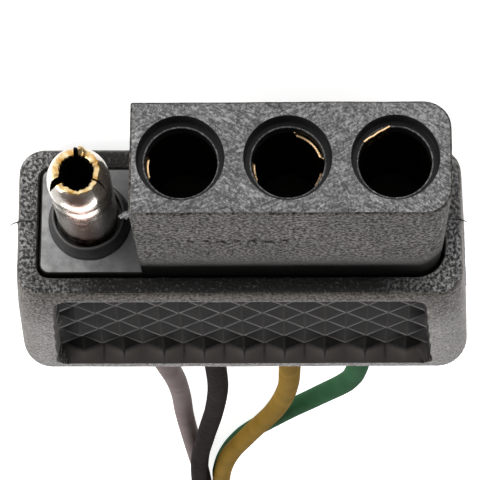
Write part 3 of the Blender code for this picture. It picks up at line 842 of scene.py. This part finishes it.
def add_tie(material):
    """A strap with cross ribs round the coil, and its head with the strap's cut end through it."""
    low, high = (corner[2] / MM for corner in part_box("cable_tie_band"))
    middle = (low + high) / 2
    half_z = (high - low) / 2
    reach = OUTER_TURN + BUNDLE_HALF_WIDTH + LEAD_RADIUS
    inner_reach = INNER_TURN - BUNDLE_HALF_WIDTH - LEAD_RADIUS
    centre = (reach + inner_reach) / 2
    half_x = (reach - inner_reach) / 2 + STRAP_CLEARANCE
    turn = Matrix.Rotation(TIE_ANGLE, 3, "Z")

    def place(x, y, z):
        return tuple(turn @ Vector((centre + x, y, 0)) + Vector((COIL_CENTRE.x, COIL_CENTRE.y, middle + z)))

    shape = Shape()
    outline = densify(rounded_rectangle(half_x, half_z, 2.6), 0.35)
    loops = []
    edge = STRAP_HALF - 0.15
    for y, inset in ((-STRAP_HALF, 0.12), (-edge, 0.0), (edge, 0.0),
                     (STRAP_HALF, 0.12), (edge, 0.42), (-edge, 0.42)):
        loop = []
        for i, (x, z) in enumerate(outline):
            rib = 0.05 if inset == 0 and i % 2 else 0.0
            scale_x = (half_x - inset - rib) / half_x
            scale_z = (half_z - inset - rib) / half_z
            loop.append(place(x * scale_x, y, z * scale_z))
        loops.append(loop)
    rings = shape.rings(loops)
    shape.tube(rings)
    shape.bridge(rings[-1], rings[0])
    band = shape.piece("tie_strap", "cable_tie_band", "tie_nylon", material)
    shape = Shape()

    def head_ring(x, *rectangle):
        return shape.ring([place(half_x + x, y, z + HEAD_RISE) for y, z in rounded_rectangle(*rectangle)])

    box = [(0.0, 0.25), (0.1, 0.08), (0.35, 0.0), (2.5, 0.0), (2.85, 0.1), (3.0, 0.3)]
    rings = shape.tube([head_ring(0.05 + x, 2.2 - inset, 2.1 - inset, 0.5 - inset / 2, 5)
                        for x, inset in box])
    shape.fill(rings[0])
    window = head_ring(3.05, 1.4, 1.2, 0.2, 3)
    floor = head_ring(2.3, 1.3, 1.1, 0.2, 3)
    shape.fill(rings[-1], window)
    shape.bridge(window, floor)
    shape.fill(floor)
    head = shape.piece("tie_head", "cable_tie_head", "tie_nylon", material)
    return [band, head]


# Materials.

class Shader:
    """A material with a Principled shader and short ways to add the nodes that drive it."""

    def __init__(self, name, colour, roughness, metallic=0.0):
        self.material = bpy.data.materials.new(name)
        self.material.use_nodes = True
        self.tree = self.material.node_tree
        self.shader = self.tree.nodes["Principled BSDF"]
        self.set("Base Color", (*colour, 1.0))
        self.set("Roughness", roughness)
        self.set("Metallic", metallic)
        self.place = self.tree.nodes.new("ShaderNodeTexCoord").outputs["Object"]

    def set(self, socket, value):
        self.shader.inputs[socket].default_value = value

    def link(self, socket, output):
        self.tree.links.new(output, self.shader.inputs[socket])

    def node(self, kind, inputs=None, **settings):
        node = self.tree.nodes.new(kind)
        for name, value in settings.items():
            setattr(node, name, value)
        for name, value in (inputs or {}).items():
            if isinstance(value, bpy.types.NodeSocket):
                self.tree.links.new(value, node.inputs[name])
            else:
                node.inputs[name].default_value = value
        return node

    def stretched(self, x, y, z):
        """Places stretched along one axis or another, for streaks."""
        node = self.node("ShaderNodeMapping", {"Vector": self.place, "Scale": (x, y, z)})
        return node.outputs["Vector"]

    def noise(self, size_mm, detail=3.0, roughness=0.5, vector=None):
        return self.node("ShaderNodeTexNoise", {
            "Vector": vector or self.place, "Scale": 1000 / size_mm, "Detail": detail, "Roughness": roughness,
        }).outputs["Fac"]

    def wear_and_highlight_mask(self):
        return self.node("ShaderNodeAttribute", attribute_name="wear_and_highlight").outputs["Fac"]

    def ramp(self, value, *stops):
        node = self.node("ShaderNodeValToRGB", {"Fac": value})
        elements = node.color_ramp.elements
        while len(elements) < len(stops):
            elements.new(1.0)
        for element, (position, colour) in zip(elements, stops):
            element.position = position
            if not isinstance(colour, tuple):
                colour = (colour, colour, colour)
            element.color = (*colour, 1.0)
        return node.outputs["Color"]

    def mix(self, factor, a, b, blend="MIX"):
        node = self.node("ShaderNodeMix", data_type="RGBA", blend_type=blend)
        for socket, value in ((node.inputs[0], factor), (node.inputs[6], a), (node.inputs[7], b)):
            if isinstance(value, bpy.types.NodeSocket):
                self.tree.links.new(value, socket)
            elif isinstance(value, tuple):
                socket.default_value = (*value, 1.0)
            else:
                socket.default_value = value
        return node.outputs[2]

    def math(self, operation, a, b=0.0, clamp=False):
        return self.node("ShaderNodeMath", {0: a, 1: b}, operation=operation, use_clamp=clamp).outputs[0]

    def axis(self, name):
        split = self.node("ShaderNodeSeparateXYZ", {"Vector": self.place})
        return self.math("MULTIPLY", split.outputs[name], 1000.0)

    def between(self, value, low, high):
        """0 at low and 1 at high."""
        return self.node("ShaderNodeMapRange", {0: value, 1: low, 2: high, 3: 0.0, 4: 1.0}).outputs[0]

    def facing(self, name, low, high):
        """How far the surface faces along an axis, as 0 at low and 1 at high."""
        normal = self.node("ShaderNodeNewGeometry").outputs["True Normal"]
        split = self.node("ShaderNodeSeparateXYZ", {"Vector": normal})
        return self.between(split.outputs[name], low, high)

    def bump(self, height, depth_mm, strength=1.0, normal=None):
        inputs = {"Height": height, "Strength": strength, "Distance": depth_mm * MM}
        if normal:
            inputs["Normal"] = normal
        return self.node("ShaderNodeBump", inputs).outputs["Normal"]


def lead_material(colour, rgb):
    m = Shader(f"pvc_{colour}", rgb, 0.6)
    dark = tuple(c * 0.78 for c in rgb)
    m.link("Base Color", m.mix(m.ramp(m.noise(5.0, 3), (0.35, 0.0), (0.7, 1.0)), rgb, dark))
    m.link("Roughness", m.ramp(m.noise(1.2, 4), (0.3, 0.5), (0.75, 0.68)))
    m.link("Normal", m.bump(m.noise(0.9, 4), 0.02, 0.6))
    m.set("IOR", 1.03)
    return m.material


def mottled_material(name, metallic, tones, tone_mm, gloss, gloss_mm, bump_mm, bump):
    """A finish that drifts between two tones, with uneven gloss and a faint bump."""
    m = Shader(name, tones[0], gloss[0], metallic)
    m.link("Base Color", m.mix(m.noise(tone_mm, 3), *tones))
    m.link("Roughness", m.ramp(m.noise(gloss_mm, 3), (0.3, gloss[0]), (0.75, gloss[1])))
    m.link("Normal", m.bump(m.noise(bump_mm, 3), *bump))
    return m.material


def copper_material():
    tones = (0.9, 0.45, 0.27), (0.62, 0.28, 0.16)
    return mottled_material("bare_copper", 1.0, tones, 0.8, (0.22, 0.42), 0.5, 0.15, (0.01, 0.5))


def brass_material():
    tones = (0.98, 0.74, 0.45), (0.82, 0.5, 0.25)
    return mottled_material("rolled_brass", 1.0, tones, 0.9, (0.18, 0.36), 0.4, 0.2, (0.01, 0.6))


def nylon_material():
    tones = (0.022, 0.022, 0.024), (0.04, 0.04, 0.043)
    return mottled_material("tie_plastic", 0.0, tones, 1.5, (0.3, 0.45), 0.6, 0.5, (0.02, 0.5))


def grip_material():
    """Black elastomer: a coarse sparkling grain on the shoulder, spark-eroded stipple elsewhere."""
    m = Shader("overmould_plastic", (0.02, 0.02, 0.021), 0.5)
    shoulder = m.facing("Y", -0.6, -0.9)
    grain = m.noise(0.3, 3, 0.65)
    # Painted light: a dim and a lit copy of the shoulder's grain, lit towards the shoulder's outer ends and
    # dim near the carrier.
    dim = m.ramp(grain, (0.46, 0.002), (0.58, 0.006), (0.7, 0.1))
    lit = m.ramp(grain, (0.4, 0.008), (0.5, 0.1), (0.6, 0.34))
    ends = m.between(m.math("ABSOLUTE", m.axis("X")), 12.5, 18.5)
    cloud = m.ramp(m.noise(6.0, 2), (0.38, 0.55), (0.6, 1.0))
    coarse = m.mix(1.0, m.mix(ends, dim, lit), cloud, "MULTIPLY")
    fine = m.noise(0.24, 4, 0.7)
    stipple = m.ramp(fine, (0.38, (0.03, 0.028, 0.026)), (0.62, (0.2, 0.184, 0.168)))
    base = m.mix(shoulder, stipple, coarse)
    m.link("Base Color", m.mix(m.math("MULTIPLY", m.wear_and_highlight_mask(), 0.8), base, (0.14, 0.128, 0.12)))
    rough_sides = m.ramp(fine, (0.35, 0.68), (0.65, 0.42))
    rough_shoulder = m.ramp(grain, (0.45, 0.6), (0.65, 0.34))
    m.link("Roughness", m.mix(shoulder, rough_sides, rough_shoulder))
    m.link("Normal", m.bump(m.math("MULTIPLY", grain, shoulder), 0.16, 0.9, m.bump(fine, 0.08, 0.8)))
    m.set("Specular IOR Level", 0.3)
    m.set("Specular Tint", (1.0, 0.97, 0.94, 1.0))
    return m.material


def recess_material():
    """The sunk grip pattern: the same elastomer painted darker as shade, matt, with a painted highlight along
    its ridges.
    """
    m = Shader("overmould_recess", (0.006, 0.006, 0.006), 0.6)
    fine = m.noise(0.3, 4, 0.6)
    # Painted shade: a darker copy of the elastomer's colour for the sunk recess.
    base = m.ramp(fine, (0.35, (0.006, 0.006, 0.006)), (0.7, (0.02, 0.019, 0.019)))
    # Painted highlight: the knurl's ridges are lightened to a warm grey.
    m.link("Base Color", m.mix(m.math("MULTIPLY", m.wear_and_highlight_mask(), 0.9), base, (0.14, 0.125, 0.115)))
    m.link("Roughness", m.ramp(fine, (0.3, 0.5), (0.7, 0.7)))
    m.link("Normal", m.bump(fine, 0.03, 0.7))
    m.set("IOR", 1.25)
    return m.material


def scratches(m, degrees, size_mm, stretch):
    """Fine parallel scratches at an angle across a face that looks along Y."""
    turned = m.node("ShaderNodeMapping", {"Vector": m.place, "Rotation": (0, math.radians(degrees), 0)})
    drawn = m.node("ShaderNodeMapping", {"Vector": turned.outputs["Vector"], "Scale": (1, 1, stretch)})
    return m.node("ShaderNodeTexNoise", {
        "Vector": drawn.outputs["Vector"], "Scale": 1000 / size_mm,
        "Detail": 5, "Roughness": 0.72, "Distortion": 0.6,
    }).outputs["Fac"]


def carrier_face_material():
    """The handled faces: whitened by scuffs, with fine scratches two ways and a few knit lines."""
    m = Shader("carrier_worn_face", (0.15, 0.152, 0.156), 0.6)
    which = m.ramp(m.noise(6.0, 1), (0.45, 0.0), (0.55, 1.0))
    mixed = m.mix(which, scratches(m, 25, 0.9, 6), scratches(m, -32, 0.9, 6))
    grain = m.noise(0.2, 3, 0.7)
    tone = m.ramp(mixed, (0.36, (0.07, 0.07, 0.072)), (0.5, (0.165, 0.166, 0.168)),
                  (0.64, (0.4, 0.402, 0.406)))
    tone = m.mix(m.ramp(grain, (0.38, 0.85), (0.54, 0.0)), tone, (0.03, 0.03, 0.032))
    tone = m.mix(m.ramp(grain, (0.56, 0.0), (0.7, 0.6)), tone, (0.5, 0.5, 0.5))
    wide = m.ramp(m.noise(5.0, 3), (0.35, 0.8), (0.62, 1.0))
    tone = m.mix(1.0, tone, wide, "MULTIPLY")
    line = m.math("ABSOLUTE", m.math("SUBTRACT", m.noise(7.0, 1.5), 0.5))
    line = m.ramp(line, (0.0, 1.0), (0.004, 0.0))
    rare = m.ramp(m.noise(5.0, 1, 0.5, m.stretched(1, 1, 2)), (0.52, 0.0), (0.57, 1.0))
    m.link("Base Color", m.mix(m.mix(1.0, line, rare, "MULTIPLY"), tone, (0.02, 0.02, 0.02)))
    m.link("Roughness", m.ramp(mixed, (0.3, 0.5), (0.7, 0.68)))
    m.link("Normal", m.bump(mixed, 0.06, 0.6, m.bump(grain, 0.08, 0.8)))
    m.set("Specular IOR Level", 0.4)
    return m.material


def pad_material():
    """The pad round the pin: smooth from the tool, with fine dark scratches, darker beside the block."""
    m = Shader("carrier_pad", (0.3, 0.3, 0.302), 0.5)
    mottle = m.noise(1.6, 4, 0.6)
    tone = m.ramp(mottle, (0.34, (0.17, 0.17, 0.172)), (0.62, (0.34, 0.34, 0.342)))
    shade = m.between(m.axis("X"), PIN_X + 2.0, PIN_X - 3.5)
    tone = m.mix(m.math("MULTIPLY", shade, 0.75), tone, (0.05, 0.05, 0.052))
    marks = m.ramp(scratches(m, 60, 1.2, 9), (0.6, 0.0), (0.68, 0.7))
    m.link("Base Color", m.mix(marks, tone, (0.08, 0.08, 0.08)))
    m.link("Roughness", m.ramp(mottle, (0.35, 0.42), (0.7, 0.6)))
    m.link("Normal", m.bump(m.noise(0.25, 3), 0.04, 0.6))
    m.set("Specular IOR Level", 0.4)
    return m.material


def carrier_wall_material():
    """The moulded walls: warm black with an eroded stipple that catches low light, with painted shade near
    black towards the root.
    """
    m = Shader("carrier_wall", (0.04, 0.037, 0.034), 0.55)
    # Painted shade: the walls' colour fades to near black towards the root beside the shoulder.
    root = m.between(m.axis("Y"), SHOULDER_Y - 6.5, SHOULDER_Y - 2.4)
    grain = m.noise(0.3, 3, 0.7)
    tone = m.ramp(grain, (0.4, (0.004, 0.004, 0.003)), (0.6, (0.15, 0.138, 0.126)))
    wide = m.ramp(m.noise(4.0, 3), (0.35, 0.6), (0.65, 1.0))
    tone = m.mix(1.0, tone, wide, "MULTIPLY")
    m.link("Base Color", m.mix(root, tone, (0.004, 0.004, 0.004)))
    m.link("Roughness", m.mix(root, m.ramp(grain, (0.4, 0.85), (0.6, 0.42)), (0.3, 0.3, 0.3)))
    # The grain's bump also fades towards the root.
    held = m.math("SUBTRACT", 1.0, m.math("MULTIPLY", root, 0.9))
    m.link("Normal", m.bump(m.math("MULTIPLY", grain, held), 0.3, 1.0))
    m.set("Specular IOR Level", 0.22)
    m.set("Specular Tint", (1.0, 0.94, 0.88, 1.0))
    return m.material


def carrier_deep_material():
    # Painted shade: a near-black copy of the plastic for the socket mouths and chambers.
    m = Shader("carrier_inside", (0.008, 0.008, 0.009), 0.42)
    m.link("Base Color", m.mix(m.noise(0.8, 3), (0.008, 0.008, 0.008), (0.016, 0.016, 0.017)))
    m.link("Normal", m.bump(m.noise(0.4, 3), 0.03, 0.5))
    m.set("Specular IOR Level", 0.2)
    return m.material


def nickel_material():
    """Worn plating: clear on one flank, with a reddish-brown painted reflection across the middle of its
    upper side.
    """
    m = Shader("nickel_plate", (0.66, 0.63, 0.6), 0.2, 1.0)
    x, z = m.axis("X"), m.axis("Z")
    side = m.math("SUBTRACT", x, PIN_X)
    stain = m.ramp(m.noise(1.6, 4, 0.6), (0.42, 0.0), (0.62, 1.0))
    # Painted reflection: a reddish-brown patch on the middle of the pin's upper side.
    low = m.between(m.math("SUBTRACT", z, MID_Z), 1.6, 2.5)
    middle = m.math("SUBTRACT", 1.0, m.math("ABSOLUTE", m.math("MULTIPLY", side, 0.7)), clamp=True)
    painted_reflection = m.math("MULTIPLY", m.math("MULTIPLY", low, middle), 1.6, clamp=True)
    clean = m.mix(stain, (0.74, 0.7, 0.64), (0.58, 0.5, 0.43))
    m.link("Base Color", m.mix(painted_reflection, clean, (0.44, 0.29, 0.24)))
    m.link("Roughness", m.ramp(m.noise(0.7, 4), (0.3, 0.14), (0.75, 0.32)))
    m.link("Normal", m.bump(m.noise(0.5, 4), 0.012, 0.6))
    return m.material


def cut_brass_material():
    m = Shader("cut_brass", (0.85, 0.62, 0.28), 0.34, 1.0)
    tarnish = m.ramp(m.noise(0.7, 4, 0.6), (0.38, 0.0), (0.62, 1.0))
    m.link("Base Color", m.mix(tarnish, (0.72, 0.6, 0.36), (0.5, 0.27, 0.06)))
    m.link("Normal", m.bump(m.noise(0.16, 4), 0.03, 0.8))
    return m.material


def dull_metal_material():
    """The unlit inside of a barrel, painted near black as shade."""
    m = Shader("dull_metal", (0.012, 0.01, 0.008), 0.5, 0.3)
    m.link("Base Color", m.mix(m.noise(1.1, 4), (0.003, 0.0025, 0.002), (0.008, 0.006, 0.004)))
    m.link("Roughness", m.ramp(m.noise(0.6, 3), (0.3, 0.42), (0.75, 0.62)))
    m.set("Specular IOR Level", 0.1)
    return m.material


def collar_material():
    m = Shader("collar_plastic", (0.012, 0.012, 0.014), 0.4)
    tone = m.mix(m.noise(0.6, 4), (0.009, 0.009, 0.011), (0.022, 0.022, 0.024))
    m.link("Base Color", m.mix(m.math("MULTIPLY", m.wear_and_highlight_mask(), 0.8), tone, (0.08, 0.078, 0.076)))
    m.link("Roughness", m.ramp(m.noise(0.5, 4), (0.3, 0.32), (0.75, 0.5)))
    m.link("Normal", m.bump(m.noise(0.35, 4), 0.03, 0.6))
    return m.material


def give(node, material):
    """Puts a material on a CAD node."""
    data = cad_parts[node].data
    data.materials.clear()
    data.materials.append(material)


# Studio.

def add_floor():
    bm = bmesh.new()
    bmesh.ops.create_grid(bm, x_segments=1, y_segments=1, size=4.0)
    mesh = bpy.data.meshes.new("floor")
    bm.to_mesh(mesh)
    bm.free()
    m = Shader("floor_white", (0.9, 0.9, 0.9), 0.9)
    m.set("Specular IOR Level", 0.1)
    m.set("Emission Color", (1, 1, 1, 1))
    m.set("Emission Strength", 0.85)
    floor = add_object("floor", mesh, m.material)
    floor.location.z = -0.0002


def add_area(name, place, target, size, power, colour=(1, 1, 1)):
    data = bpy.data.lights.new(name, "AREA")
    data.shape = "RECTANGLE"
    data.size, data.size_y = size
    data.energy = power
    data.color = colour
    lamp = bpy.data.objects.new(name, data)
    bpy.context.scene.collection.objects.link(lamp)
    lamp.location = place
    lamp.rotation_euler = (Vector(target) - Vector(place)).to_track_quat("-Z", "Y").to_euler()


def add_world():
    """A plain room: bright all round at eye level, and dimmer overhead."""
    world = bpy.data.worlds.new("studio")
    world.use_nodes = True
    tree = world.node_tree
    background = tree.nodes["Background"]
    direction = tree.nodes.new("ShaderNodeTexCoord").outputs["Generated"]
    split = tree.nodes.new("ShaderNodeSeparateXYZ")
    tree.links.new(direction, split.inputs[0])
    ramp = tree.nodes.new("ShaderNodeValToRGB")
    ramp.color_ramp.interpolation = "EASE"
    low, high = ramp.color_ramp.elements
    low.position, low.color = 0.36, (1, 1, 1, 1)
    high.position, high.color = 0.72, (0.22, 0.22, 0.22, 1)
    tree.links.new(split.outputs["Z"], ramp.inputs["Fac"])
    tree.links.new(ramp.outputs["Color"], background.inputs["Color"])
    background.inputs["Strength"].default_value = 0.9
    bpy.context.scene.world = world


def add_studio():
    add_floor()
    add_world()
    bpy.context.scene.view_settings.view_transform = "Standard"
    add_area("side", (0.5, -0.12, 0.22), (0.01, -0.01, 0.01), (0.25, 0.4), 2.2, (1.0, 0.97, 0.95))
    add_area("back", (-0.05, 0.6, 0.3), (0, 0, 0.01), (0.8, 0.25), 2.5)


def main():
    add_camera()
    leads = {
        "white": lead_material("white", (0.2, 0.162, 0.158)),
        "brown": lead_material("brown", (0.016, 0.011, 0.011)),
        "yellow": lead_material("yellow", (0.24, 0.145, 0.025)),
        "green": lead_material("green", (0.03, 0.1, 0.045)),
    }
    copper = copper_material()
    tie = add_tie(nylon_material())
    add_leads(leads, copper)
    add_grip(grip_material(), recess_material())
    face = carrier_face_material()
    wall = carrier_wall_material()
    add_carrier(face, wall, carrier_deep_material(), pad_material())
    add_marks(wall)
    add_block_flash(face)
    collar = collar_material()
    add_parting_flash(collar)
    add_collar(collar)
    dull = dull_metal_material()
    add_pin(nickel_material(), cut_brass_material(), dull)
    brass = brass_material()
    for colour, x in SOCKET_X.items():
        add_socket_contact(colour, x, brass, dull)
    for colour in LEAD_X:
        give(f"conductor_{colour}", copper)
    add_studio()


main()
